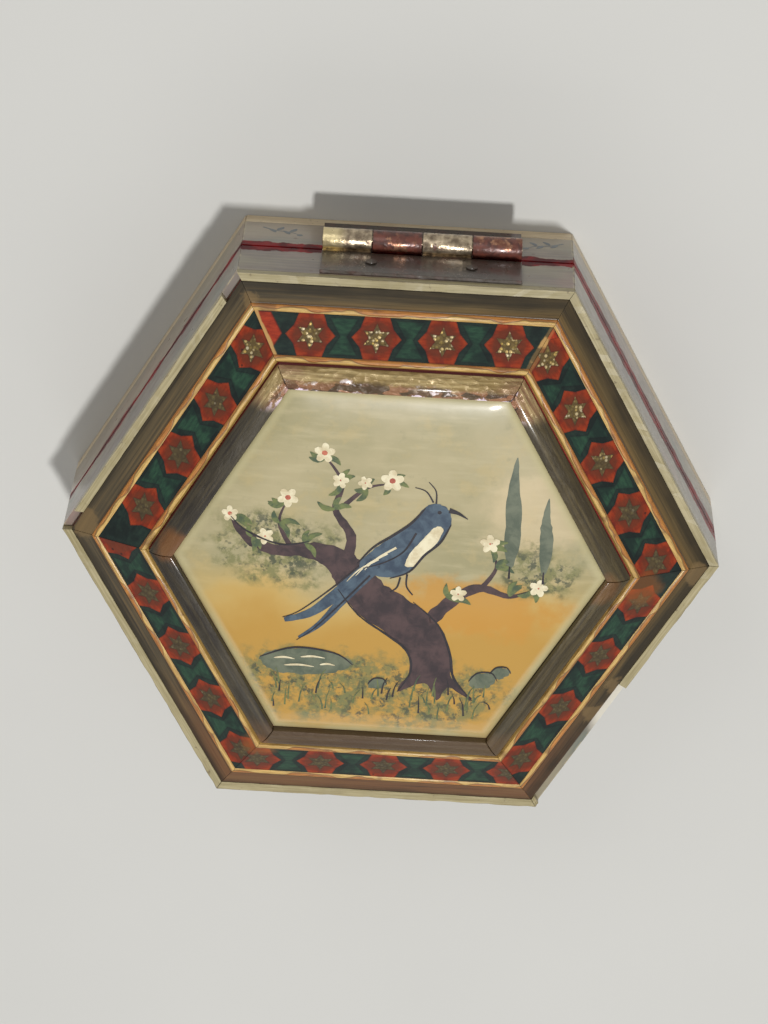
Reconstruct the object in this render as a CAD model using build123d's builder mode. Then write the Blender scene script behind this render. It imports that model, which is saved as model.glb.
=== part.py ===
"""Hexagonal keepsake box with a raised marquetry lid, hinged at the back.

The box stands on its base with +Z up. The hexagon has corners on X and flats facing Y, and the
hinge is on the +Y flat. The origin is the centre of the resting face. All sizes are millimetres.
"""
import os
from math import ceil, cos, pi, radians, sin, tan

from build123d import *

# Body of the box
across_corners = 70.0
base_height = 9.0
lid_side_height = 8.0
rim_gap = 0.25
wall = 2.1
skin = 0.9
floor_thickness = 2.0
base_edging_height = 2.0
glue_gap = 0.04

# Raised top of the lid: a sloping frame of six boards round a flat panel
slope = 30.0
frame_board = 2.2
inlay = 0.6
edging_step_height = 0.25
panel_board = 2.0

# Strips on the slope, by their width along it, from the edging inwards
trim_width = 2.2
outer_line_width = 0.75
mosaic_width = 4.5
inner_line_width = 0.65
groove_width = 0.35
moulding_width = 2.6
line_proud = 0.18
moulding_proud = 0.4

# Painted plaque
plaque_edge = 0.75
plaque_crown = 0.45
crown_share = 0.5
crown_steps = 4
moulding_lap = 0.8

# Mosaic: red hexagons with a brass star, on a green ground with light triangles
star_radius = 1.55
star_waist_radius = 0.8
petal_notch_depth = 0.25
triangle_margin = 0.35
cut_flower_share = 0.4
flower_pitches = {
    "back": 6.85,
    "back_left": 7.2,
    "front_left": 7.0,
    "front": 6.85,
    "front_right": 7.5,
    "back_right": 6.5,
}
flower_offsets = {
    "back": 2.7,
    "back_left": 2.2,
    "front_left": -0.75,
    "front": 0.6,
    "front_right": 2.75,
    "back_right": 0.0,
}

# Hinge: two leaves on the back plates, with the barrel outside the seam
hinge_length = 21.0
hinge_shift = 1.5
knuckles = 4
knuckle_gap = 0.1
barrel_radius = 1.2
barrel_clearance = 0.05
pin_radius = 0.55
pin_clearance = 0.05
leaf_thickness = 0.4
leaf_height = 5.6
leaf_gap = 0.15
nails_per_leaf = 2
nail_thickness = 0.6
nail_length = 2.4
nail_head_radius = 0.6
nail_head_height = 0.2
nail_clearance = 0.03

# Worked out from the sizes above
half_turn = radians(30)
pitch_angle = radians(slope)
apothem = across_corners / 2 * cos(half_turn)
core_apothem = apothem - skin
inside_apothem = core_apothem - wall
lid_bottom = base_height + rim_gap
lid_top = lid_bottom + lid_side_height
lid_edging_height = inlay / cos(pitch_angle) + edging_step_height
wall_top = lid_top - lid_edging_height

trim_end = trim_width
outer_line_end = trim_end + outer_line_width
mosaic_end = outer_line_end + mosaic_width
inner_line_end = mosaic_end + inner_line_width
moulding_start = inner_line_end + groove_width
moulding_end = moulding_start + moulding_width
mosaic_middle = (outer_line_end + mosaic_end) / 2

panel_apothem = core_apothem - moulding_end * cos(pitch_angle)
board_apothem = panel_apothem + moulding_lap

axis_y = apothem + barrel_clearance + barrel_radius
axis_z = base_height + rim_gap / 2
plate_start = barrel_radius + leaf_gap

side_angles = {
    "back": 90,
    "back_left": 150,
    "front_left": 210,
    "front": 270,
    "front_right": 330,
    "back_right": 30,
}


def slope_z(radius, depth=0.0):
    """Height of the slope's surface, or of a plane this deep under it, at a distance from the axis."""
    return lid_top + (core_apothem - radius) * tan(pitch_angle) - depth / cos(pitch_angle)


def slope_point(along, depth=0.0):
    """Section point this far up the slope from the edging, and this deep under its surface."""
    radius = core_apothem - along * cos(pitch_angle) - depth * sin(pitch_angle)
    height = lid_top + along * sin(pitch_angle) - depth * cos(pitch_angle)
    return (radius, height)


board_top = slope_z(board_apothem, inlay)


def outward(angle):
    """Unit vector that points out of the side at this angle."""
    return Vector(cos(radians(angle)), sin(radians(angle)), 0)


def section_plane(angle):
    """Plane that cuts across a side: X points outwards and Y points up."""
    return Plane(origin=(0, 0, 0), x_dir=outward(angle), z_dir=outward(angle - 90))


def plan_plane(angle):
    """Plane of the table, turned so that X points out of the side."""
    return Plane(origin=(0, 0, 0), x_dir=outward(angle), z_dir=(0, 0, 1))


def slope_plane(angle):
    """Plane of a side's slope at the mosaic's middle: X runs along the side and Y up the slope."""
    radius, height = slope_point(mosaic_middle)
    out = outward(angle)
    return Plane(
        origin=(out * radius) + Vector(0, 0, height),
        x_dir=outward(angle + 90),
        z_dir=out * sin(pitch_angle) + Vector(0, 0, cos(pitch_angle)),
    )


# Sixth of the plan that one side's pieces fill, less half a glue line at each mitre
sector_spread = (across_corners - glue_gap) * tan(half_turn)
with BuildSketch() as mitre_sector:
    Polygon(
        (glue_gap, 0), (across_corners, sector_spread), (across_corners, -sector_spread), align=None
    )


def mitred(section, angle):
    """One side's piece: its section run along the side and mitred at both ends."""
    with BuildPart() as piece:
        with BuildSketch(section_plane(angle)):
            add(section)
        extrude(amount=across_corners / 2, both=True)
        with BuildSketch(plan_plane(angle)):
            add(mitre_sector.sketch)
        extrude(amount=across_corners, both=True, mode=Mode.INTERSECT)
    return piece.part


def ring(section):
    """The six mitred pieces of one moulding or strip."""
    return [mitred(section, angle) for angle in side_angles.values()]


def rectangle_section(inner, outer, low, high):
    """Upright rectangular section, from its distances to the axis and its heights."""
    with BuildSketch() as section:
        with BuildLine():
            Polyline((inner, low), (outer, low), (outer, high), (inner, high), close=True)
        make_face()
    return section.sketch


def strip_section(start, end, proud=0.0):
    """Section of a strip inlaid in the slope, with a top that may stand proud in a low arch."""
    with BuildSketch() as section:
        with BuildLine():
            Polyline(slope_point(end), slope_point(end, inlay), slope_point(start, inlay), slope_point(start))
            if proud:
                ThreePointArc(slope_point(start), slope_point((start + end) / 2, -proud), slope_point(end))
            else:
                Line(slope_point(start), slope_point(end))
        make_face()
    return section.sketch


# Sections of the lid's own pieces
with BuildSketch() as trim_section:
    with BuildLine():
        Polyline(
            (core_apothem, lid_top - inlay / cos(pitch_angle)),
            (core_apothem, lid_top),
            slope_point(trim_end),
            slope_point(trim_end, inlay),
            close=True,
        )
    make_face()

with BuildSketch() as frame_section:
    with BuildLine():
        Polyline(
            (inside_apothem, wall_top),
            (core_apothem, wall_top),
            (core_apothem, slope_z(core_apothem, inlay)),
            (board_apothem + glue_gap, slope_z(board_apothem + glue_gap, inlay)),
            (board_apothem + glue_gap, slope_z(board_apothem + glue_gap, inlay + frame_board)),
            (inside_apothem, slope_z(inside_apothem, inlay + frame_board)),
            close=True,
        )
    make_face()

with BuildSketch() as moulding_section:
    with BuildLine():
        Polyline(
            (panel_apothem, slope_z(panel_apothem)),
            (panel_apothem, board_top),
            (board_apothem, board_top),
            slope_point(moulding_start, inlay),
            slope_point(moulding_start),
        )
        ThreePointArc(
            slope_point(moulding_start),
            slope_point((moulding_start + moulding_end) / 2, -moulding_proud),
            (panel_apothem, slope_z(panel_apothem)),
        )
    make_face()


def hexagon(inner_radius):
    """Radius to the corners of a hexagon with flats at this distance from its centre."""
    return inner_radius / cos(half_turn)


# Hinge nails: where they stand on each leaf, and the holes they pass through
nail_hole = nail_thickness + 2 * nail_clearance
nail_drop = plate_start + leaf_height / 2
nail_spacing = hinge_length / nails_per_leaf
back_face = Plane(origin=(hinge_shift, apothem, axis_z), x_dir=(-1, 0, 0), z_dir=(0, 1, 0))


def nail_places(side):
    """Places of one leaf's nails on the back face, above the hinge axis for 1 and below it for -1."""
    return [
        ((place - (nails_per_leaf - 1) / 2) * nail_spacing, side * nail_drop)
        for place in range(nails_per_leaf)
    ]


with BuildPart() as nail_drills:
    with BuildSketch(back_face.offset(leaf_thickness)):
        with Locations(*nail_places(1), *nail_places(-1)):
            Rectangle(nail_hole, nail_hole)
    extrude(amount=-(nail_length + nail_clearance))


def knuckle_centre(number):
    """Distance along the hinge from its middle to the middle of a knuckle."""
    return (number - (knuckles - 1) / 2) * hinge_length / knuckles


def hinge_leaf(side, numbers):
    """Leaf above the axis for side 1 and below it for -1, curled round its own knuckles."""
    knuckle_length = hinge_length / knuckles - knuckle_gap
    with BuildPart() as leaf:
        with BuildSketch(back_face):
            with Locations((0, side * nail_drop)):
                Rectangle(hinge_length, leaf_height)
            for number in numbers:
                with Locations((-knuckle_centre(number), side * plate_start / 2)):
                    Rectangle(knuckle_length, plate_start)
            with Locations(*nail_places(side)):
                Rectangle(nail_hole, nail_hole, mode=Mode.SUBTRACT)
        extrude(amount=leaf_thickness)
        for number in numbers:
            start = hinge_shift + knuckle_centre(number) - knuckle_length / 2
            with BuildSketch(Plane(origin=(start, axis_y, axis_z), x_dir=(0, 1, 0), z_dir=(1, 0, 0))):
                Circle(barrel_radius)
                Circle(pin_radius + pin_clearance, mode=Mode.SUBTRACT)
            extrude(amount=knuckle_length)
    return leaf.part


def hinge_nails(side):
    """One leaf's cut nails: a square shank under a round head that lies on the leaf."""
    with BuildPart() as nails:
        with BuildSketch(back_face.offset(leaf_thickness)):
            with Locations(*nail_places(side)):
                Circle(nail_head_radius)
        extrude(amount=nail_head_height)
        with BuildSketch(back_face.offset(leaf_thickness)):
            with Locations(*nail_places(side)):
                Rectangle(nail_thickness, nail_thickness)
        extrude(amount=-nail_length)
    return nails.part


# Mosaic outlines, drawn on one side's slope plane
flower_count = ceil(across_corners / 2 / min(flower_pitches.values()))
middle_half_length = slope_point(mosaic_middle)[0] * tan(half_turn)
flower_half_width = hexagon(mosaic_width / 2)


def flower_places(side, step, margin):
    """Places along a side at whole steps of the pattern, out to this far past the mitres."""
    turns = range(-flower_count, flower_count)
    places = [flower_offsets[side] + (step + turn) * flower_pitches[side] for turn in turns]
    return [(place, 0) for place in places if abs(place) < middle_half_length + margin]


def six_points(even_radius, odd_radius):
    """Corners of a six-pointed outline, at two radii in turn, from the way along the side."""
    return [
        (radius * cos(pi / 6 * number), radius * sin(pi / 6 * number))
        for number, radius in enumerate([even_radius, odd_radius] * 6)
    ]


def flower_outline(side):
    """Hexagons with a shallow notch between petals, but flat where they touch the lines."""
    corners = six_points(flower_half_width, mosaic_width / 2 - petal_notch_depth)
    corners = [corner for number, corner in enumerate(corners) if number % 6 != 3]
    with BuildSketch() as outline:
        with Locations(*flower_places(side, 0, 2 * cut_flower_share * flower_half_width)):
            Polygon(*corners, align=None)
    return outline.sketch


def star_outline(side):
    """Stars whose points lie between the petals."""
    with BuildSketch() as outline:
        with Locations(*flower_places(side, 0, 0)):
            Polygon(*six_points(star_waist_radius, star_radius), align=None)
    return outline.sketch


def triangle_outline(side):
    base = flower_pitches[side] / 2 - flower_half_width / 2 - 2 * triangle_margin
    foot = mosaic_width / 2 - triangle_margin
    tip = foot - base / tan(half_turn)
    with BuildSketch() as outline:
        with Locations(*flower_places(side, 0.5, -base)):
            Polygon((-base, foot), (base, foot), (0, tip), align=None)
            Polygon((-base, -foot), (base, -foot), (0, -tip), align=None)
    return outline.sketch


def inlaid(draw):
    """Prisms of each side's outline, as deep as the inlay and cut at the mitres."""
    sides = []
    for side, angle in side_angles.items():
        with BuildPart() as pieces:
            with BuildSketch(slope_plane(angle)):
                add(draw(side))
            extrude(amount=-inlay)
            with BuildSketch(plan_plane(angle)):
                add(mitre_sector.sketch)
            extrude(amount=across_corners, both=True, mode=Mode.INTERSECT)
        sides.append(pieces.part)
    return sides


whole_flowers = inlaid(flower_outline)
stars = inlaid(star_outline)
triangles = inlaid(triangle_outline)

os.makedirs("parts", exist_ok=True)

# Base
with BuildPart() as base_floor:
    with BuildSketch():
        RegularPolygon(hexagon(inside_apothem - glue_gap), 6)
    extrude(amount=floor_thickness)
base_floor.part.label = "base_floor"
export_step(base_floor.part, "parts/base_floor.step")

with BuildPart() as base_edging:
    add(ring(rectangle_section(core_apothem, apothem, 0, base_edging_height)))
base_edging.part.label = "base_edging"
export_step(base_edging.part, "parts/base_edging.step")

for side, angle in side_angles.items():
    with BuildPart() as base_wall:
        add(mitred(rectangle_section(inside_apothem, core_apothem, 0, base_height), angle))
        if side == "back":
            add(nail_drills.part, mode=Mode.SUBTRACT)
    base_wall.part.label = f"base_wall_{side}"
    export_step(base_wall.part, f"parts/base_wall_{side}.step")

    with BuildPart() as base_plate:
        add(mitred(rectangle_section(core_apothem, apothem, base_edging_height, base_height), angle))
        if side == "back":
            add(nail_drills.part, mode=Mode.SUBTRACT)
    base_plate.part.label = f"base_plate_{side}"
    export_step(base_plate.part, f"parts/base_plate_{side}.step")

    # Lid walls and sloping frame boards
    with BuildPart() as lid_wall:
        add(mitred(rectangle_section(inside_apothem, core_apothem, lid_bottom, wall_top), angle))
        if side == "back":
            add(nail_drills.part, mode=Mode.SUBTRACT)
    lid_wall.part.label = f"lid_wall_{side}"
    export_step(lid_wall.part, f"parts/lid_wall_{side}.step")

    with BuildPart() as lid_plate:
        add(mitred(rectangle_section(core_apothem, apothem, lid_bottom, wall_top), angle))
        if side == "back":
            add(nail_drills.part, mode=Mode.SUBTRACT)
    lid_plate.part.label = f"lid_plate_{side}"
    export_step(lid_plate.part, f"parts/lid_plate_{side}.step")

    with BuildPart() as lid_frame:
        add(mitred(frame_section.sketch, angle))
    lid_frame.part.label = f"lid_frame_{side}"
    export_step(lid_frame.part, f"parts/lid_frame_{side}.step")

# Lid panel and the painted plaque on it
with BuildPart() as lid_panel:
    with BuildSketch(Plane.XY.offset(board_top)):
        RegularPolygon(hexagon(board_apothem), 6)
    extrude(amount=-panel_board)
lid_panel.part.label = "lid_panel"
export_step(lid_panel.part, "parts/lid_panel.step")

plaque_radius = hexagon(panel_apothem - glue_gap)
with BuildPart() as painted_plaque:
    with BuildSketch(Plane.XY.offset(board_top)):
        RegularPolygon(plaque_radius, 6)
    extrude(amount=plaque_edge)
    for step in range(crown_steps):
        for share in (step / crown_steps, (step + 1) / crown_steps):
            rise = plaque_crown * sin(share * pi / 2)
            with BuildSketch(Plane.XY.offset(board_top + plaque_edge + rise)):
                RegularPolygon(plaque_radius * (1 - share * crown_share), 6)
        loft(ruled=True)
painted_plaque.part.label = "painted_plaque"
export_step(painted_plaque.part, "parts/painted_plaque.step")

# Strips round the slope, from the edging inwards
with BuildPart() as lid_edging:
    add(ring(rectangle_section(core_apothem, apothem, wall_top, lid_top)))
lid_edging.part.label = "lid_edging"
export_step(lid_edging.part, "parts/lid_edging.step")

with BuildPart() as outer_trim:
    add(ring(trim_section.sketch))
outer_trim.part.label = "outer_trim"
export_step(outer_trim.part, "parts/outer_trim.step")

with BuildPart() as outer_line:
    add(ring(strip_section(trim_end, outer_line_end, line_proud)))
outer_line.part.label = "outer_line"
export_step(outer_line.part, "parts/outer_line.step")

with BuildPart() as inner_line:
    add(ring(strip_section(mosaic_end, inner_line_end, line_proud)))
inner_line.part.label = "inner_line"
export_step(inner_line.part, "parts/inner_line.step")

with BuildPart() as inner_moulding:
    add(ring(moulding_section.sketch))
inner_moulding.part.label = "inner_moulding"
export_step(inner_moulding.part, "parts/inner_moulding.step")

# Mosaic
with BuildPart() as mosaic_stars:
    add(stars)
mosaic_stars.part.label = "mosaic_stars"
export_step(mosaic_stars.part, "parts/mosaic_stars.step")

with BuildPart() as mosaic_triangles:
    add(triangles)
mosaic_triangles.part.label = "mosaic_triangles"
export_step(mosaic_triangles.part, "parts/mosaic_triangles.step")

with BuildPart() as mosaic_flowers:
    add(whole_flowers)
    add(stars, mode=Mode.SUBTRACT)
mosaic_flowers.part.label = "mosaic_flowers"
export_step(mosaic_flowers.part, "parts/mosaic_flowers.step")

with BuildPart() as mosaic_ground:
    add(ring(strip_section(outer_line_end, mosaic_end)))
    add(whole_flowers, mode=Mode.SUBTRACT)
    add(triangles, mode=Mode.SUBTRACT)
mosaic_ground.part.label = "mosaic_ground"
export_step(mosaic_ground.part, "parts/mosaic_ground.step")

# Hinge
with BuildPart() as hinge_leaf_lid:
    add(hinge_leaf(1, range(0, knuckles, 2)))
hinge_leaf_lid.part.label = "hinge_leaf_lid"
export_step(hinge_leaf_lid.part, "parts/hinge_leaf_lid.step")

with BuildPart() as hinge_leaf_base:
    add(hinge_leaf(-1, range(1, knuckles, 2)))
hinge_leaf_base.part.label = "hinge_leaf_base"
export_step(hinge_leaf_base.part, "parts/hinge_leaf_base.step")

with BuildPart() as hinge_pin:
    with BuildSketch(Plane(origin=(hinge_shift, axis_y, axis_z), x_dir=(0, 1, 0), z_dir=(1, 0, 0))):
        Circle(pin_radius)
    extrude(amount=hinge_length / 2, both=True)
hinge_pin.part.label = "hinge_pin"
export_step(hinge_pin.part, "parts/hinge_pin.step")

with BuildPart() as hinge_nails_lid:
    add(hinge_nails(1))
hinge_nails_lid.part.label = "hinge_nails_lid"
export_step(hinge_nails_lid.part, "parts/hinge_nails_lid.step")

with BuildPart() as hinge_nails_base:
    add(hinge_nails(-1))
hinge_nails_base.part.label = "hinge_nails_base"
export_step(hinge_nails_base.part, "parts/hinge_nails_base.step")
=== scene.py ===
"""The lacquered six-sided box, dressed for its portrait.

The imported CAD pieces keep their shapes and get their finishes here. Three kinds of piece are made new:
the chipped ivory edging of the lid, the glazed picture with its brushwork, and the sprigs on the hinge side.
Lengths are in millimetres and are turned into metres where a mesh is made.
"""

import math
import random
import bmesh
import bpy
from mathutils import Matrix, Vector


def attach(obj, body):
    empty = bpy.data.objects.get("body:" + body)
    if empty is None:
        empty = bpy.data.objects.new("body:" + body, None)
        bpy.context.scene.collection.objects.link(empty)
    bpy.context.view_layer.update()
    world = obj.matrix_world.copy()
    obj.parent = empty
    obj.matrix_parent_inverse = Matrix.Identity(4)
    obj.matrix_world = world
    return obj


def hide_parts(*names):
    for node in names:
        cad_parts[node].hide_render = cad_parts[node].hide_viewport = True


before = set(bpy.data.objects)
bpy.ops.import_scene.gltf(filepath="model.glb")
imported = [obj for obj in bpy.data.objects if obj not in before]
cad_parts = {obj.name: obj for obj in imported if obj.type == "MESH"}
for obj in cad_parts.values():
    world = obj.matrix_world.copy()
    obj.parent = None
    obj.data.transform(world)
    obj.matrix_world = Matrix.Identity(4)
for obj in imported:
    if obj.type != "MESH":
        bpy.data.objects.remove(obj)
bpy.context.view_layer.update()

MM = 0.001
SIDE_ANGLES = {"back": 90, "back_left": 150, "front_left": 210, "front": 270, "front_right": 330, "back_right": 30}

# The lid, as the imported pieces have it.
RIM_TOP = 17.25              # height of the lid's edge, where the slope starts
RIM_APOTHEM = 29.411         # centre to the foot of the slope
SLOPE = math.radians(30)
HALF_SIDE = math.tan(math.radians(30))  # half a side's length, for 1 from its middle to the centre
SEAM_HEIGHT = 9.125          # where the lid meets the base, and the height of the hinge's pin
BOX_APOTHEM = 30.3105        # centre to the middle of a side
WALL_TOP = 16.307            # underside of the ivory edging
MOSAIC_APOTHEM = 24.908      # centre to the middle of the mosaic band
PICTURE_APOTHEM = 19.842     # centre to the edge of the picture's board
PICTURE_FOOT = 21.62         # top of the board under the picture
PICTURE_TOP = 22.73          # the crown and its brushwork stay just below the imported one
PICTURE_CROWN = 0.42         # rise of the glaze from its shoulder to its middle
CROWN_REACH = 23.0           # centre to where that rise has run out
PICTURE_SHOULDER = 0.46      # what is left for the crown above the shoulder

# The mosaic's rows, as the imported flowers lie: their pitch, and one flower's place along the side.
FLOWER_ROWS = {"back": (6.85, 2.7), "back_left": (7.2, 2.2), "front_left": (7.0, -0.75), "front": (6.85, 0.6),
               "front_right": (7.5, 2.75), "back_right": (6.5, 0.0)}
CUT_FLOWER_RUN = 15.0        # a crowded half flower, painted on at the back strip's left end

# Where the shade along the outside of the lid's brass strip starts, from the centre.
TRIM_SHADE = {"back": 28.1, "back_left": 28.85, "front_left": 28.5, "front": 28.9, "front_right": 28.0,
              "back_right": 28.3}
TRIM_SHADE_BASE = 24         # taken off, because a number that each side has its own value of is under 15
LOWEST_SIDE_VALUE, SIDE_VALUE_SPAN = -5, 20


# ---------------------------------------------------------------- node trees


def srgb(red, green, blue):
    """A colour as the eye names it, 0 to 255, in the linear values that a shader takes."""
    def linear(channel):
        channel /= 255
        return channel / 12.92 if channel <= 0.04045 else ((channel + 0.055) / 1.055) ** 2.4
    return (linear(red), linear(green), linear(blue), 1.0)


class Look:
    """A material's node tree, with a short call for each node that this scene needs."""

    def __init__(self, name, roughness=0.4, metallic=0.0, coat=0.0, coat_roughness=0.1, specular=0.5):
        self.material = bpy.data.materials.new(name)
        self.material.use_nodes = True
        self.tree = self.material.node_tree
        self.shader = self.tree.nodes["Principled BSDF"]
        for socket, value in (("Roughness", roughness), ("Metallic", metallic), ("Coat Weight", coat),
                              ("Coat Roughness", coat_roughness), ("Specular IOR Level", specular)):
            self.set(socket, value)
        coordinates = self.node("ShaderNodeTexCoord").outputs["Object"]
        self.place = self.vector("MULTIPLY", coordinates, (1000, 1000, 1000))
        x, y, self.height = self.split(self.place)
        # Each side of the box has its own run and its own distance from the centre.
        sixth = math.pi / 3
        turn = self.math("FLOOR", self.math("DIVIDE", self.math("ARCTAN2", y, x), sixth))
        angle = self.times(self.plus(turn, 0.5), sixth)
        cosine, sine = self.math("COSINE", angle), self.math("SINE", angle)
        self.out = self.plus(self.times(x, cosine), self.times(y, sine))
        self.run = self.minus(self.times(y, cosine), self.times(x, sine))
        self.side = turn
        self.x, self.y = x, y

    def node(self, kind, settings=(), **inputs):
        node = self.tree.nodes.new(kind)
        for name, value in dict(settings).items():
            setattr(node, name, value)
        for name, value in inputs.items():
            self.put(node.inputs[name.replace("_", " ")], value)
        return node

    def put(self, socket, value):
        if isinstance(value, bpy.types.NodeSocket):
            self.tree.links.new(value, socket)
        else:
            socket.default_value = value

    def math(self, operation, first, second=0.0):
        node = self.node("ShaderNodeMath", {"operation": operation})
        self.put(node.inputs[0], first)
        self.put(node.inputs[1], second)
        return node.outputs[0]

    def plus(self, first, second):
        return self.math("ADD", first, second)

    def minus(self, first, second):
        return self.math("SUBTRACT", first, second)

    def vector(self, operation, first, second, output="Vector"):
        node = self.node("ShaderNodeVectorMath", {"operation": operation})
        self.put(node.inputs[0], first)
        self.put(node.inputs[1], second)
        return node.outputs[output]

    def split(self, vector):
        return self.node("ShaderNodeSeparateXYZ", Vector=vector).outputs

    def joined(self, x, y, z):
        return self.node("ShaderNodeCombineXYZ", X=x, Y=y, Z=z).outputs[0]

    def grain(self, along, across):
        """A place on the side's own axes, shrunk so that noise on it runs along the side."""
        return self.joined(self.times(self.run, along), self.times(self.out, across),
                           self.plus(self.times(self.height, across), self.times(self.side, 13.7)))

    def noise(self, scale=1.0, detail=3.0, at=None, roughness=0.5, distortion=0.0):
        """Cloudy values about 0.5, with scale in cycles per millimetre."""
        return self.node("ShaderNodeTexNoise", Vector=at or self.place, Scale=scale, Detail=detail,
                         Roughness=roughness, Distortion=distortion).outputs[0]

    def cells(self, scale, at=None):
        """Scattered points: the distance from the nearest one, its colour and more."""
        return self.node("ShaderNodeTexVoronoi", Vector=at or self.place, Scale=scale).outputs

    def step(self, value, low, high):
        """0 below low and 1 above high, smooth between; low may be the larger one."""
        return self.node("ShaderNodeMapRange", {"interpolation_type": "SMOOTHSTEP"}, Value=value,
                         From_Min=low, From_Max=high).outputs[0]

    def patches(self, scale, low, high, detail=4, **noise):
        """1 in soft patches and 0 between them."""
        return self.step(self.noise(scale, detail, **noise), low, high)

    def times(self, *values):
        result = values[0]
        for value in values[1:]:
            result = self.math("MULTIPLY", result, value)
        return result

    def scaled(self, value, low, high):
        """A value between 0 and 1 taken to the range from low to high."""
        return self.plus(self.times(value, high - low), low)

    def blend(self, amount, first, second):
        node = self.node("ShaderNodeMix", {"data_type": "RGBA"})
        self.put(node.inputs[0], amount)
        self.put(node.inputs[6], first)
        self.put(node.inputs[7], second)
        return node.outputs[2]

    def edges(self, width):
        """1 on the piece's own edges and 0 on its faces."""
        rounded = self.node("ShaderNodeBevel", {"samples": 6}, Radius=width * MM).outputs[0]
        true = self.node("ShaderNodeNewGeometry").outputs["Normal"]
        return self.step(self.vector("DOT_PRODUCT", rounded, true, "Value"), 0.995, 0.85)

    def bump(self, height, strength=0.3, depth=0.05):
        """Relief of a real depth in millimetres."""
        node = self.node("ShaderNodeBump", Height=height, Strength=strength, Distance=depth * MM)
        self.put(self.shader.inputs["Normal"], node.outputs[0])

    def by_side(self, values):
        """A number that each side has its own value of, from -5 to 15, read off a stepped ramp."""
        ramp = self.node("ShaderNodeValToRGB", Fac=self.math("DIVIDE", self.plus(self.side, 3.5), 6.0))
        ramp.color_ramp.interpolation = "CONSTANT"
        stops = ramp.color_ramp.elements
        stops.remove(stops[1])
        order = sorted(SIDE_ANGLES, key=lambda side: (SIDE_ANGLES[side] + 180) % 360)
        for index, side in enumerate(order):
            stop = stops[0] if index == 0 else stops.new(index / 6)
            stop.color = [(values[side] - LOWEST_SIDE_VALUE) / SIDE_VALUE_SPAN] * 3 + [1]
        value = self.times(self.split(ramp.outputs["Color"])[0], SIDE_VALUE_SPAN)
        return self.plus(value, LOWEST_SIDE_VALUE)

    def back_strip(self):
        """1 on the back side, and on the end of the back right one that meets it."""
        return self.times(self.step(self.y, 16, 17), self.step(self.math("ABSOLUTE", self.side), 1.5, 1.2))

    def from_seam(self):
        """Distance from the line where the lid meets the base."""
        return self.math("ABSOLUTE", self.minus(self.height, SEAM_HEIGHT))

    def flower(self):
        """Distance from the nearest flower's middle, and the turn round it, on the mosaic band."""
        pitch = self.by_side({side: row[0] for side, row in FLOWER_ROWS.items()})
        start = self.by_side({side: row[1] for side, row in FLOWER_ROWS.items()})
        steps = self.math("DIVIDE", self.minus(self.run, start), pitch)
        along = self.times(self.minus(steps, self.math("ROUND", steps)), pitch)
        across = self.math("DIVIDE", self.minus(self.out, MOSAIC_APOTHEM), math.cos(SLOPE))
        return self.length(along, across), self.math("ARCTAN2", across, along)

    def length(self, first, second):
        return self.math("SQRT", self.plus(self.times(first, first), self.times(second, second)))

    def spread(self, x, y, wide, high):
        """Distance from a place seen from above, 1 on an ellipse about it."""
        return self.length(self.math("DIVIDE", self.minus(self.x, x), wide),
                           self.math("DIVIDE", self.minus(self.y, y), high))

    def near(self, x, y, radius, ragged=0.5):
        """1 about a place seen from above, fading out unevenly."""
        uneven = self.scaled(self.noise(1.0 / radius, 4, roughness=0.6), -ragged, ragged)
        return self.step(self.plus(self.spread(x, y, radius, radius), uneven), 1.1, 0.5)

    def set(self, name, value):
        self.put(self.shader.inputs[name], value)

    def colour(self, value):
        """The first colour, which the others go over."""
        self.base = value
        self.set("Base Color", value)

    def over(self, colour, *amounts):
        """Lays a colour over what is there, by the product of the amounts."""
        self.colour(self.blend(self.times(*amounts), self.base, colour))

    def roughness(self, value):
        self.set("Roughness", value)


# ---------------------------------------------------------------- finishes


def red_lacquer(name, straight=False):
    """Brushed red lacquer on the wood, thin and rubbed at the edges; on a flat board it is brushed one way."""
    look = Look(name, roughness=0.42, coat=0.25, coat_roughness=0.2, specular=0.35)
    level = look.joined(look.times(look.x, 0.12), look.times(look.y, 2.2), look.times(look.height, 2.2))
    streaks = look.noise(1.0, 5, level if straight else look.grain(0.12, 2.2), roughness=0.6)
    look.colour(look.blend(look.step(streaks, 0.3, 0.7), srgb(98, 18, 22), srgb(138, 32, 32)))
    look.over(srgb(120, 42, 34), look.patches(0.07, 0.5, 0.68), 0.5)
    look.over(srgb(78, 17, 22), look.patches(0.25, 0.62, 0.75))
    specks = look.step(look.cells(0.55)["Distance"], 0.1, 0.05)
    look.over(srgb(54, 16, 18), specks, 0.7)
    worn = look.times(look.edges(0.25), look.patches(1.6, 0.5, 0.62, 5, roughness=0.65))
    look.over(srgb(92, 52, 36), worn)
    look.roughness(look.scaled(streaks, 0.3, 0.6))
    look.bump(streaks, 0.4, 0.05)
    return look.material


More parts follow.
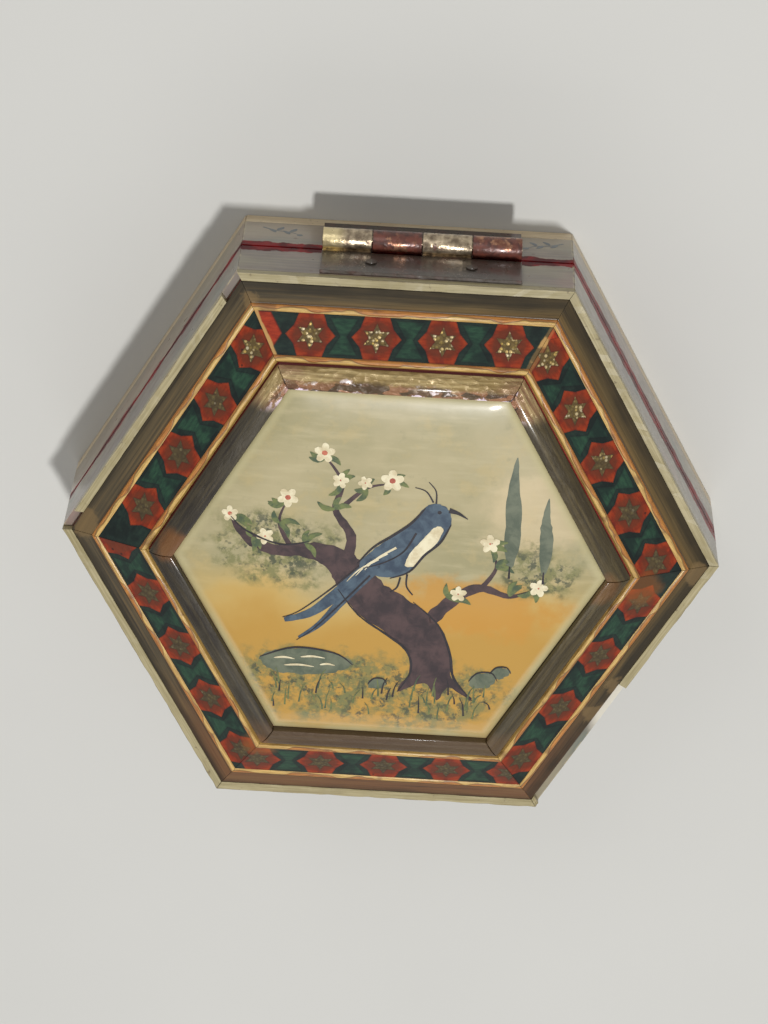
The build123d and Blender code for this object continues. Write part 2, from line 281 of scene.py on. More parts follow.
def side_plate():
    """Smoky horn-coloured side faces under old lacquer, with the red of the rims run over at the parting line."""
    look = Look("side_face_lacquer", roughness=0.32, coat=0.4, coat_roughness=0.1, specular=0.4)
    veil = look.noise(0.16, 4, look.grain(0.35, 1.0), roughness=0.55)
    streaks = look.noise(1.0, 5, look.grain(0.1, 2.6), roughness=0.6)
    look.colour(look.blend(look.step(veil, 0.35, 0.65), srgb(142, 134, 112), srgb(116, 104, 98)))
    bloom = look.noise(0.1, 4, look.grain(0.8, 1.3))
    look.over(srgb(94, 110, 104), look.step(bloom, 0.52, 0.66), 0.7)
    look.over(srgb(158, 128, 118), look.step(bloom, 0.46, 0.32), 0.6)
    look.over(srgb(166, 154, 126), look.step(streaks, 0.4, 0.75), 0.4)
    look.over(look.blend(0.5, look.base, srgb(176, 160, 138)),
              look.step(look.plus(look.height, look.times(look.x, 0.12)), 9.0, 3.0))
    from_seam = look.from_seam()
    stain = look.times(look.step(from_seam, 2.4, 0.2), look.patches(0.35, 0.46, 0.66), 0.5)
    look.over(srgb(126, 66, 58), stain)
    pale_line = look.times(look.step(look.height, 7.6, 8.3), look.step(look.height, 8.7, 8.3),
                           look.patches(0.3, 0.42, 0.55, 3), 0.6)
    look.over(srgb(192, 168, 140), pale_line)
    along = look.joined(look.run, look.times(look.side, 7.3), 0.0)
    reach = look.scaled(look.step(look.noise(0.16, 5, along, roughness=0.65), 0.34, 0.62), 0.45, 1.15)
    more = look.by_side({"back": 0.45, "back_left": 0, "front_left": 0, "front": 0, "front_right": 0,
                         "back_right": 1.0})
    reach = look.plus(reach, more)
    ragged = look.plus(look.minus(from_seam, reach), look.scaled(look.noise(0.8, 4), -0.3, 0.3))
    seam = look.blend(look.patches(0.5, 0.42, 0.6), srgb(86, 13, 20), srgb(140, 25, 30))
    band = look.step(ragged, 0.1, -0.1)
    look.over(seam, band)
    # The old red paint is dull, so it stays dark where the face is seen along its length.
    look.set("Specular IOR Level", look.scaled(band, 0.4, 0.08))
    look.set("Coat Weight", look.scaled(band, 0.4, 0.0))
    spots = look.step(look.cells(0.42)["Distance"], 0.12, 0.05)
    look.over(srgb(96, 60, 52), spots, 0.5)
    worn = look.times(look.edges(0.3), look.patches(0.9, 0.44, 0.6), look.step(from_seam, 0.5, 1.0))
    look.over(srgb(188, 174, 138), worn)
    # the plates' top edge where the ivory is lost, bared and lightened to near-white as a painted highlight
    bared_edge_highlight = look.times(look.near(25.4, -17.6, 4.2, 0.3), look.step(look.height, 15.7, 16.0))
    look.over(srgb(214, 208, 192), bared_edge_highlight)
    look.roughness(look.scaled(look.noise(0.7, 4), 0.2, 0.45))
    look.bump(look.noise(0.6, 4, look.grain(0.4, 1.0)), 0.35, 0.08)
    return look.material


def bone(name, light, dark, dirt):
    """Cream edging strip with long fine grain and dirt in its corners."""
    look = Look(name, roughness=0.4, coat=0.2, coat_roughness=0.25, specular=0.4)
    grain = look.noise(1.0, 6, look.grain(0.16, 5.0), roughness=0.62)
    look.colour(look.blend(look.step(grain, 0.3, 0.7), dark, light))
    look.over(dark, look.patches(0.22, 0.5, 0.7), 0.55)
    grime = look.times(look.patches(1.4, 0.6, 0.72, 5, roughness=0.7), 0.75)
    look.over(dirt, grime)
    look.over(dirt, look.edges(0.12), look.patches(0.5, 0.42, 0.62, 3))
    look.roughness(look.scaled(grain, 0.25, 0.55))
    look.bump(grain, 0.35, 0.04)
    return look.material


def outer_trim():
    """Thin dark brass under lacquer, smoky olive; its warmer tone to the right, copper along the front and lighter
    inner edge on the lit sides are painted light, and the dark band by the ivory is painted shade.
    """
    look = Look("dark_brass_strip", roughness=0.4, metallic=0.15, coat=0.14, coat_roughness=0.16, specular=0.28)
    streaks = look.noise(1.0, 6, look.grain(0.09, 3.4), roughness=0.62)
    mottle = look.noise(0.11, 4, look.grain(0.7, 0.6))
    look.colour(look.blend(look.step(mottle, 0.42, 0.62), srgb(75, 67, 53), srgb(88, 77, 57)))
    # painted light: a warmer tone toward the right, where the strip is lit
    painted_warm_light = look.step(look.plus(look.x, look.times(look.y, 0.4)), 0, 26)
    look.over(srgb(88, 72, 42), painted_warm_light, 0.75)
    # painted light: a copper tone along the front, for how the light falls there
    copper = look.step(look.y, -14, -27)
    look.over(srgb(114, 78, 50), copper)
    # painted light: the inner part of the strip is lighter on the lit back and right
    lit_side = look.plus(look.x, look.times(look.y, 0.9))
    painted_gold_sheen = look.times(look.step(look.out, 28.3, 27.7), look.step(lit_side, -4, 14), 0.3)
    look.over(srgb(134, 104, 56), painted_gold_sheen)
    look.over(srgb(130, 106, 68), look.step(streaks, 0.45, 0.75), 0.5)
    look.over(srgb(44, 36, 30), look.step(streaks, 0.5, 0.25), 0.75)
    # painted shade: a dark band along the ivory, from where each side's shade starts
    shade_from = look.by_side({side: place - TRIM_SHADE_BASE for side, place in TRIM_SHADE.items()})
    beyond = look.minus(look.minus(look.out, TRIM_SHADE_BASE), shade_from)
    beyond = look.plus(beyond, look.scaled(look.noise(1.0, 4, look.grain(0.2, 0.8)), -0.5, 0.5))
    painted_ivory_shade = look.times(look.step(beyond, -0.3, 0.7), look.scaled(look.noise(0.25, 4), 0.35, 1.0))
    look.over(srgb(34, 31, 24), painted_ivory_shade)
    inner_edge = look.step(look.out, 27.75, 27.55)
    look.over(srgb(52, 38, 26), inner_edge, 0.7)
    for x, y, radius in ((-32.4, 1.0, 1.7), (32.6, -0.8, 1.5), (-15.9, 27.6, 1.0), (24.9, -14.8, 1.1),
                         (22.9, -18.2, 1.3)):
        look.over(srgb(130, 106, 70), look.near(x, y, radius, 1.3), 0.6)
    look.roughness(look.scaled(streaks, 0.3, 0.52))
    look.bump(streaks, 0.4, 0.06)
    return look.material


def tan_line(name, middle):
    """Two strands, straw and orange, that wind round each other along the line."""
    look = Look(name, roughness=0.45, coat=0.15, coat_roughness=0.2)
    drift = look.noise(0.13, 3, look.joined(look.run, look.side, 0.0))
    sway = look.math("SINE", look.plus(look.times(look.run, 0.7), look.times(drift, 16.0)))
    across = look.minus(look.out, middle)
    where = look.plus(across, look.times(sway, 0.22))
    strand = look.step(where, -0.06, 0.06)
    fibres = look.noise(1.0, 5, look.grain(0.5, 7.0), roughness=0.65)
    straw = look.blend(look.step(fibres, 0.35, 0.7), srgb(170, 132, 70), srgb(218, 182, 106))
    orange = look.blend(look.step(fibres, 0.35, 0.7), srgb(148, 92, 38), srgb(198, 134, 60))
    look.colour(look.blend(strand, straw, orange))
    seam = look.step(look.math("ABSOLUTE", where), 0.11, 0.02)
    look.over(srgb(84, 54, 28), seam, 0.6)
    look.over(srgb(110, 74, 40), look.patches(0.5, 0.58, 0.7), 0.6)
    look.bump(look.plus(fibres, look.times(seam, -0.8)), 0.5, 0.08)
    return look.material


def mitre_strand(look):
    """The straw-coloured edge that shows where the back's strip meets its neighbours."""
    to_mitre = look.minus(look.times(look.out, HALF_SIDE), look.math("ABSOLUTE", look.run))
    wander = look.scaled(look.noise(0.35, 3), -0.3, 0.3)
    strand = look.step(look.plus(to_mitre, wander), 0.5, 0.3)
    broken = look.scaled(look.step(look.plus(look.noise(0.6, 3), look.times(look.x, -0.01)), 0.32, 0.46), 0.25, 0.95)
    look.over(srgb(190, 150, 92), look.back_strip(), strand, broken)


def smudged(look):
    """Amber lacquer that has run over some corners of the bands."""
    for x, y, radius, strength in ((27.0, -1.8, 2.4, 0.35), (22.6, -1.0, 2.0, 0.25), (-22.8, 1.2, 2.2, 0.4),
                                   (-13.0, -22.6, 2.0, 0.4)):
        look.over(srgb(156, 98, 44), look.near(x, y, radius), strength)


def mosaic_flower():
    """Red wooden hexagon: orange petals, brown about the star."""
    look = Look("mosaic_red_wood", roughness=0.38, coat=0.14, coat_roughness=0.12, specular=0.22)
    radius, turn = look.flower()
    grain = look.noise(1.0, 6, look.grain(0.9, 3.0), roughness=0.65)
    look.colour(look.blend(look.step(grain, 0.3, 0.7), srgb(114, 38, 19), srgb(150, 53, 24)))
    look.over(srgb(102, 36, 22), look.patches(0.7, 0.5, 0.68), 0.7)
    petals = look.math("COSINE", look.times(turn, 6.0))
    folds = look.times(look.step(petals, -0.55, -0.95), look.step(radius, 1.4, 2.0), 0.55)
    look.over(srgb(96, 30, 22), folds)
    glow = look.times(look.step(radius, 1.9, 2.4), look.step(petals, -0.4, 0.6), 0.5)
    look.over(srgb(168, 68, 30), glow)
    halo = look.step(look.plus(radius, look.scaled(look.noise(1.2, 3), -0.3, 0.3)), 2.05, 1.45)
    look.over(srgb(92, 46, 28), halo, 0.72)
    look.over(srgb(74, 28, 22), look.edges(0.3), 0.7)
    specks = look.step(look.cells(0.8)["Distance"], 0.16, 0.08)
    look.over(srgb(48, 26, 22), specks, look.patches(0.12, 0.5, 0.6, 2), 0.8)
    smudged(look)
    mitre_strand(look)
    look.roughness(look.scaled(grain, 0.24, 0.5))
    look.bump(look.minus(grain, look.times(folds, 1.2)), 0.35, 0.05)
    return look.material


def mosaic_ground(name, light, dark, deep):
    """Green wood between the flowers, blotched and darker where it meets them; a cut flower ends the back's row."""
    look = Look(name, roughness=0.38, coat=0.14, coat_roughness=0.12, specular=0.22)
    grain = look.noise(1.0, 6, look.grain(0.9, 3.0), roughness=0.65)
    look.colour(look.blend(look.step(grain, 0.3, 0.7), dark, light))
    look.over(deep, look.patches(0.45, 0.45, 0.62), 0.8)
    look.over(deep, look.edges(0.4), 0.5)
    across = look.math("DIVIDE", look.math("ABSOLUTE", look.minus(look.out, MOSAIC_APOTHEM)), math.cos(SLOPE))
    along = look.math("ABSOLUTE", look.minus(look.run, CUT_FLOWER_RUN))
    reach = look.math("MAXIMUM", across, look.plus(look.times(along, 0.866), look.times(across, 0.5)))
    cut_flower = look.times(look.back_strip(), look.step(reach, 2.25, 2.15))
    petal = look.blend(look.step(grain, 0.3, 0.7), srgb(128, 40, 24), srgb(168, 58, 32))
    petal = look.blend(look.step(reach, 2.0, 2.2), petal, srgb(84, 30, 22))
    look.over(petal, cut_flower)
    smudged(look)
    mitre_strand(look)
    look.roughness(look.scaled(grain, 0.24, 0.5))
    look.bump(grain, 0.35, 0.05)
    return look.material


def mosaic_brass():
    """Star of brass wire ends gone olive-brown; its lighter tone toward the back is painted light, and the sparkles on
    some ends, most of them along the back, are painted highlights.
    """
    look = Look("mosaic_star_brass", roughness=0.35, coat=0.15, specular=0.35)
    ends = look.cells(2.7)
    tones = look.split(ends["Color"])
    # painted light: the stars' tone is lighter toward the back, where they are lit
    lit = look.step(look.plus(look.y, look.times(look.x, 0.2)), 10, 25)
    look.colour(look.blend(tones[0], look.blend(lit, srgb(70, 62, 42), srgb(92, 76, 40)),
                           look.blend(lit, srgb(98, 86, 54), srgb(140, 118, 62))))
    # painted highlights: near-white sparkles on some wire ends, more where lit
    painted_sparkle = look.times(look.step(look.plus(tones[1], look.times(lit, 0.5)), 0.96, 1.04),
                        look.step(ends["Distance"], 0.6, 0.4), look.scaled(lit, 0.25, 1.0))
    look.over(look.blend(tones[2], srgb(232, 196, 110), srgb(240, 226, 190)), painted_sparkle)
    look.over(srgb(62, 44, 28), look.step(ends["Distance"], 0.3, 0.5), 0.5)
    look.over(srgb(66, 42, 26), look.edges(0.25), 0.6)
    smudged(look)
    look.set("Metallic", look.scaled(painted_sparkle, 0.2, 0.8))
    look.roughness(look.scaled(painted_sparkle, 0.45, 0.2))
    look.bump(ends["Distance"], 0.7, 0.07)
    return look.material


def moulding():
    """Half-round inner moulding: smoky metal foil under lacquer; the olive tone along the back and the tints to the
    right and front are painted light, and the copper flakes and glints at the back's lower edge are painted
    reflections.
    """
    look = Look("inner_moulding_foil", roughness=0.42, metallic=0.1, coat=0.18, coat_roughness=0.12, specular=0.28)
    streaks = look.noise(1.0, 6, look.grain(0.14, 2.8), roughness=0.62)
    mottle = look.noise(0.16, 4, look.grain(0.8, 0.7))
    look.colour(look.blend(look.step(mottle, 0.4, 0.62), srgb(46, 41, 34), srgb(66, 60, 48)))
    look.over(srgb(98, 86, 62), look.step(streaks, 0.45, 0.72), 0.45)
    look.over(srgb(40, 34, 32), look.step(streaks, 0.48, 0.28), 0.7)
    # painted light: a warmer olive tint on the right sides
    right = look.step(look.x, 6, 18)
    look.over(look.blend(look.step(streaks, 0.35, 0.65), srgb(62, 52, 30), srgb(90, 77, 45)), right, 0.65)
    # painted light: the back's moulding is lighter olive and streaked where it is lit
    back = look.step(look.y, 17.0, 19.0)
    olive = look.blend(look.step(mottle, 0.42, 0.6), srgb(152, 128, 80), srgb(146, 112, 80))
    look.over(look.blend(look.step(streaks, 0.42, 0.7), olive, srgb(204, 180, 128)), back, 0.9)
    # painted reflections: copper flakes and near-white glints along the back's lower edge
    flakes = look.cells(1.3, look.grain(0.5, 1.3))
    tones = look.split(flakes["Color"])
    lower = look.step(look.plus(look.out, look.scaled(look.noise(0.5, 4), -1.0, 1.0)), 21.1, 20.5)
    copper = look.blend(look.step(tones[1], 0.25, 0.75), srgb(58, 40, 34), srgb(146, 98, 70))
    look.over(copper, back, lower, 0.85)
    torn = look.plus(flakes["Distance"], look.scaled(look.noise(1.6, 4, roughness=0.7), -0.7, 0.7))
    glint = look.times(back, lower, look.step(look.plus(tones[0], look.times(look.noise(0.12, 2), 0.8)), 0.85, 1.0),
                       look.step(torn, 0.5, 0.3))
    look.over(look.blend(tones[2], srgb(236, 214, 236), srgb(252, 244, 230)), glint)
    # painted light: a brown tint along the front
    front = look.step(look.y, -18.0, -20.0)
    look.over(srgb(112, 84, 56), front, 0.4)
    smudged(look)
    wrinkles = look.noise(1.0, 5, look.grain(0.55, 1.6), roughness=0.62, distortion=0.8)
    crumple = look.cells(1.1, look.grain(0.9, 1.2))["Distance"]
    look.roughness(look.scaled(back, 0.5, 0.25))
    look.bump(look.plus(wrinkles, look.times(crumple, back, 1.6)), 0.9, 0.2)
    return look.material


def hinge_metal(name, light, dark, lacquer, cover):
    """Rubbed knuckles with what is left of a coat of lacquer; the leaf itself is still painted over."""
    look = Look(name, roughness=0.3, metallic=0.9, coat=0.25)
    wear = look.noise(0.5, 4, roughness=0.6)
    fine = look.noise(1.5, 4)
    metal = look.blend(look.step(fine, 0.3, 0.72), dark, light)
    # painted highlight: the hinge's left end is lightened toward cream
    painted_end_highlight = look.step(look.x, -6.2, -7.8)
    metal = look.blend(look.times(painted_end_highlight, 0.8), metal, srgb(232, 214, 164))
    left = look.step(wear, 0.5 + cover, 0.42 + cover)
    painted = look.blend(look.step(fine, 0.35, 0.68), lacquer, srgb(76, 44, 38))
    knuckle = look.blend(left, metal, painted)
    leaf = look.blend(look.step(wear, 0.45, 0.68), srgb(66, 57, 49), srgb(78, 52, 44))
    on_leaf = look.step(look.from_seam(), 1.15, 1.35)
    look.colour(look.blend(on_leaf, knuckle, leaf))
    paint = look.math("MAXIMUM", left, on_leaf)
    look.set("Metallic", look.scaled(paint, 0.85, 0.1))
    look.roughness(look.scaled(look.noise(1.4, 4), 0.14, 0.5))
    look.bump(look.plus(look.times(wear, 0.8), look.times(fine, 0.5)), look.scaled(on_leaf, 0.9, 0.3), 0.16)
    return look.material


def pigment(name, light, dark, scale=0.8):
    """Brushed paint under the glaze of the picture."""
    look = Look(name, roughness=0.34, coat=0.5, coat_roughness=0.09, specular=0.35)
    stroke = look.noise(scale, 5, roughness=0.62, distortion=0.4)
    look.colour(look.blend(look.step(stroke, 0.34, 0.66), dark, light))
    look.bump(stroke, 0.25, 0.03)
    return look.material


def picture_ground():
    """Pale sky, ochre ground and soft shrubs, brushed from side to side, with a cloudy painted highlight along the
    edge.
    """
    look = Look("picture_ground", roughness=0.34, coat=0.5, coat_roughness=0.09, specular=0.35)

    def spot(x, y, wide, high, ragged):
        uneven = look.scaled(look.noise(0.33, 5, roughness=0.6), -ragged, ragged)
        return look.step(look.plus(look.spread(x, y, wide, high), uneven), 1.15, 0.6)

    sway = look.plus(look.y, look.scaled(look.noise(0.09, 4), -6, 6))
    across = look.joined(look.times(look.x, 0.16), look.times(look.y, 0.9), 0.0)
    brush = look.noise(1.0, 5, across, roughness=0.6)
    look.colour(look.blend(look.patches(0.11, 0.35, 0.65), srgb(176, 164, 126), srgb(156, 148, 110)))
    look.over(srgb(188, 176, 138), look.step(brush, 0.45, 0.7), 0.5)
    for scale, low, high, roughness, strength, colour in ((0.22, 0.5, 0.66, 0.65, 0.45, srgb(190, 170, 120)),
                                                          (0.5, 0.58, 0.72, 0.7, 0.35, srgb(140, 136, 104))):
        mottled = look.patches(scale, low, high, 6, roughness=roughness)
        look.over(colour, mottled, strength)
    look.over(srgb(196, 166, 98), look.step(sway, 1, -5))
    look.over(srgb(184, 142, 62), look.step(sway, -2, -8))
    look.over(srgb(192, 138, 52), spot(9, -4, 10, 3.6, 0.8), 0.8)
    look.over(srgb(224, 200, 160), spot(15, 7, 6, 5, 0.6), 0.4)
    for x, y, wide, high in ((-12.5, 1.5, 7.5, 4.6), (15.5, 0.5, 4.6, 3.6), (2.0, -14.5, 13.0, 4.6),
                             (-9.5, -13.5, 7.0, 4.6)):
        shrub = look.times(spot(x, y, wide, high, 0.9), look.patches(0.7, 0.4, 0.58, 6, roughness=0.7), 0.85)
        look.over(srgb(116, 116, 70), shrub)
        deep = look.times(spot(x, y, wide * 0.9, high * 0.85, 0.9), look.patches(0.9, 0.5, 0.6, 6, roughness=0.72),
                          0.85)
        look.over(srgb(62, 70, 54), deep)
    # painted highlight: a pale cream band where the glaze rounds down at the edge
    painted_rim_highlight = look.times(look.step(look.out, 18.5, 19.5), look.scaled(look.noise(0.25, 3), 0.3, 1.2))
    look.over(srgb(196, 186, 142), painted_rim_highlight)
    look.bump(look.noise(0.35, 4), 0.25, 0.08)
    return look.material


# ---------------------------------------------------------------- mesh helpers


def piece(name, mesh, material, body):
    thing = bpy.data.objects.new(name, mesh)
    bpy.context.scene.collection.objects.link(thing)
    mesh.materials.append(material)
    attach(thing, body)
    return thing


def mesh_from(name, points, faces, smooth=False):
    mesh = bpy.data.meshes.new(name)
    mesh.from_pydata([Vector(point) * MM for point in points], [], faces)
    if smooth:
        mesh.shade_smooth()
    return mesh


def picture_height(x, y):
    """The glaze is a low pillow: nearly flat in the middle and rounded down at its six edges."""
    reach = max(x * math.cos(math.radians(a)) + y * math.sin(math.radians(a)) for a in SIDE_ANGLES.values())
    share = min(1.0, max(0.0, reach / PICTURE_APOTHEM))
    pillow = (1 - share ** 9) ** (1 / 2.2)
    crown = max(0.0, PICTURE_CROWN * (1 - (x * x + y * y) / CROWN_REACH ** 2))
    return PICTURE_FOOT + 0.02 + (PICTURE_TOP - PICTURE_FOOT - PICTURE_SHOULDER + crown) * pillow


# ---------------------------------------------------------------- CAD pieces

# Pieces whose edges are broken, with the width of the rounding.
ROUNDED = {"base_edging": 0.15, "outer_trim": 0.1, "inner_moulding": 0.2, "outer_line": 0.08, "inner_line": 0.08,
           "hinge_leaf_base": 0.1, "hinge_leaf_lid": 0.1, "hinge_nails_base": 0.05, "hinge_nails_lid": 0.05}
for side in SIDE_ANGLES:
    ROUNDED |= {f"base_plate_{side}": 0.1, f"lid_plate_{side}": 0.1, f"base_wall_{side}": 0.15,
                f"lid_wall_{side}": 0.15}

finishes = {
    "red_core": red_lacquer("red_lacquered_wood"),
    "base_floor": red_lacquer("red_lacquered_board", straight=True),
    "side_plate": side_plate(),
    "bone_edging": bone("base_edging_bone", srgb(222, 204, 170), srgb(190, 168, 134), srgb(112, 90, 66)),
    "outer_trim": outer_trim(),
    "outer_line": tan_line("outer_twisted_line", 27.18),
    "inner_line": tan_line("inner_twisted_line", 22.68),
    "mosaic_red": mosaic_flower(),
    "mosaic_green": mosaic_ground("mosaic_green_wood", srgb(34, 50, 42), srgb(23, 36, 34), srgb(16, 24, 24)),
    "mosaic_light_green": mosaic_ground("mosaic_light_green_wood", srgb(44, 76, 56), srgb(29, 52, 43),
                                        srgb(20, 34, 32)),
    "mosaic_brass": mosaic_brass(),
    "moulding": moulding(),
    "hinge_brass": hinge_metal("hinge_bare_metal", srgb(206, 188, 160), srgb(126, 110, 92), srgb(104, 62, 52), -0.1),
    "hinge_lacquer": hinge_metal("hinge_lacquered_metal", srgb(190, 142, 112), srgb(120, 78, 64), srgb(112, 62, 50),
                                 0.1),
}
finishes["lid_panel"] = finishes["base_floor"]

for name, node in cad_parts.items():
    slot = name if name in finishes else node.data.materials[0].name
    if slot in finishes:
        node.material_slots[0].material = finishes[slot]
    if name in ROUNDED:
        weld = node.modifiers.new("weld", "WELD")
        weld.merge_threshold = 1e-6
        bevel = node.modifiers.new("rounded", "BEVEL")
        bevel.width = ROUNDED[name] * MM
        bevel.segments = 2
        bevel.limit_method = "ANGLE"
        bevel.angle_limit = math.radians(25)

# ---------------------------------------------------------------- the picture

# A garden made up for this box: an old tree in blossom with a slate-blue bird, cypresses and shrubs.
rings, spokes = 26, 96
points, faces = [(0, 0, picture_height(0, 0))], []
for ring in range(1, rings + 1):
    share = 1 - (1 - ring / rings) ** 1.6
    for spoke in range(spokes):
        angle = 2 * math.pi * spoke / spokes
        sector = math.radians(30) - (angle % (math.pi / 3))
        reach = PICTURE_APOTHEM * share / math.cos(sector)
        x, y = reach * math.cos(angle), reach * math.sin(angle)
        points.append((x, y, picture_height(x * 0.99999, y * 0.99999)))
for spoke in range(spokes):
    after = (spoke + 1) % spokes
    faces.append((0, 1 + spoke, 1 + after))
    for ring in range(rings - 1):
        inner, outer = 1 + ring * spokes, 1 + (ring + 1) * spokes
        faces.append((inner + spoke, outer + spoke, outer + after, inner + after))
picture = piece("picture", mesh_from("picture", points, faces, True), picture_ground(), "lid")
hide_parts("painted_plaque")


def rounded_path(points, closed=False, steps=6):
    """A smooth line through the points."""
    count = len(points)
    path = []
    for index in range(count if closed else count - 1):
        around = [index + k for k in (-1, 0, 1, 2)]
        around = [k % count for k in around] if closed else [min(max(k, 0), count - 1) for k in around]
        before, start, end, after = (Vector(points[k]) for k in around)
        for step in range(steps):
            t = step / steps
            path.append(0.5 * ((2 * start) + (end - before) * t + (2 * before - 5 * start + 4 * end - after) * t * t
                               + (3 * start - before - 3 * end + after) * t ** 3))
    if not closed:
        path.append(Vector(points[-1]))
    return path


def on_glaze(x, y, lift):
    return Vector((x, y, picture_height(x, y) + lift))


class Brushwork:
    """Strokes of one colour, which lie on the glaze or another face at one small lift."""

    STROKE_LIFT = 0.0003     # each stroke lies this far above the one before
    LONGEST_EDGE = 1.6       # longer edges are cut, so that a patch follows the face it lies on

    def __init__(self, name, material, lift, surface=on_glaze, facing=(0, 0, 1), body="lid", slot="plaque"):
        self.name, self.material, self.lift = name, material, lift
        self.surface, self.facing, self.body, self.slot = surface, Vector(facing), body, slot
        self.mesh = bmesh.new()
        self.chance = random.Random(name)
        self.strokes = 0

    def corner(self, x, y):
        return self.mesh.verts.new((x, y, self.strokes * self.STROKE_LIFT))

    def stroke(self, points, thick, thin=0.05, middle=None, ragged=0.04):
        """A tapering stroke; middle makes it widest on the way."""
        path = rounded_path(points)
        self.strokes += 1
        rows = []
        for index, place in enumerate(path):
            share = index / (len(path) - 1)
            before, after = path[max(index - 1, 0)], path[min(index + 1, len(path) - 1)]
            along = (after - before).normalized()
            if middle is None:
                width = thick + (thin - thick) * share
            else:
                width = thin + (thick - thin) * math.sin(math.pi * share ** middle)
            width *= 1 + self.chance.uniform(-ragged, ragged)
            across = Vector((-along.y, along.x)) * width / 2
            rows.append((self.corner(*(place + across)), self.corner(*(place - across))))
        for first, second in zip(rows, rows[1:]):
            self.mesh.faces.new((first[1], second[1], second[0], first[0]))

    def patch(self, points, ragged=0.06, steps=6):
        """A filled shape with a slightly uneven edge."""
        path = [place + Vector((self.chance.uniform(-ragged, ragged), self.chance.uniform(-ragged, ragged)))
                for place in rounded_path(points, True, steps)]
        self.strokes += 1
        corners = [self.corner(*place) for place in path]
        face = self.mesh.faces.new(corners)
        if face.calc_area() and face.normal.z < 0:
            face.normal_flip()
        made = bmesh.ops.triangulate(self.mesh, faces=[face], ngon_method="BEAUTY")
        edges = {edge for face in made["faces"] for edge in face.edges if edge.calc_length() > self.LONGEST_EDGE}
        if edges:
            bmesh.ops.subdivide_edges(self.mesh, edges=list(edges), cuts=2)

    def finish(self):
        for corner in self.mesh.verts:
            corner.co = self.surface(corner.co.x, corner.co.y, self.lift + corner.co.z) * MM
        self.mesh.normal_update()
        for face in self.mesh.faces:
            if face.normal.dot(self.facing) < 0:
                face.normal_flip()
        mesh = bpy.data.meshes.new(self.name)
        self.mesh.to_mesh(mesh)
        self.mesh.free()
        mesh.shade_smooth()
        return piece(self.name, mesh, self.material, self.body)


def ellipse(x, y, wide, high, turn=0.0, count=12):
    turn = math.radians(turn)
    return [(x + wide * math.cos(a) * math.cos(turn) - high * math.sin(a) * math.sin(turn),
             y + wide * math.cos(a) * math.sin(turn) + high * math.sin(a) * math.cos(turn))
            for a in (2 * math.pi * k / count for k in range(count))]


far = Brushwork("painted_cypresses", pigment("paint_grey_green", srgb(106, 112, 92), srgb(76, 86, 70), 0.5), 0.01)
wood = Brushwork("painted_tree", pigment("paint_umber", srgb(78, 58, 58), srgb(46, 34, 38), 0.6), 0.02)
blue = Brushwork("painted_bird", pigment("paint_slate_blue", srgb(76, 94, 108), srgb(46, 62, 80), 0.7), 0.03)
leaves = Brushwork("painted_leaves", pigment("paint_leaf", srgb(112, 120, 68), srgb(64, 80, 58), 0.9), 0.034)
pale = Brushwork("painted_blossom", pigment("paint_cream", srgb(232, 222, 188), srgb(204, 188, 150), 0.9), 0.04)
rose = Brushwork("painted_hearts", pigment("paint_rose", srgb(196, 112, 84), srgb(160, 76, 60), 1.2), 0.046)
ink = Brushwork("painted_ink", pigment("paint_ink", srgb(42, 36, 42), srgb(24, 20, 26), 1.0), 0.05)

# cypresses behind, on the right
for x, y, tall, wide in ((12.6, 1.5, 12.0, 1.7), (16.2, 1.0, 8.0, 1.3)):
    far.stroke([(x, y - 0.8), (x + 0.1, y + tall * 0.35), (x - 0.1, y + tall * 0.7), (x + 0.05, y + tall)], wide, 0.1,
               0.7, 0.14)
    ink.stroke([(x, y - 1.8), (x, y - 0.4)], 0.26, 0.14)

# the old tree, from its roots at the right to its bough on the left
wood.patch([(9.6, -15.0), (7.4, -12.4), (6.8, -9.4), (5.4, -6.2), (2.6, -3.6), (-0.4, -1.8), (-3.0, 0.8), (-5.4, 2.2),
            (-8.6, 2.6), (-11.6, 2.1), (-15.2, 3.4), (-16.8, 4.9), (-15.6, 2.4), (-12.4, 0.9), (-9.0, 0.9),
            (-6.6, -0.2), (-5.2, -2.6), (-3.0, -5.4), (0.2, -7.6), (2.2, -9.4), (2.8, -11.8), (1.6, -14.4),
            (4.4, -13.2), (5.8, -15.2), (7.0, -13.6)], 0.12)
wood.stroke([(4.0, -6.4), (6.8, -3.2), (9.6, -1.6), (12.8, -2.4), (15.2, -1.6)], 1.7, 0.16, None, 0.12)
wood.stroke([(-4.6, 0.6), (-4.2, 3.6), (-6.0, 6.6), (-5.4, 9.6), (-7.2, 12.4)], 1.3, 0.14, None, 0.12)
wood.stroke([(-5.0, 7.2), (-2.8, 9.2), (-0.6, 9.8)], 0.55, 0.12)
wood.stroke([(9.8, -1.6), (11.2, 0.8), (10.6, 3.0)], 0.6, 0.12)
wood.stroke([(-10.4, 1.8), (-11.8, 4.6), (-11.2, 7.0)], 0.6, 0.12)

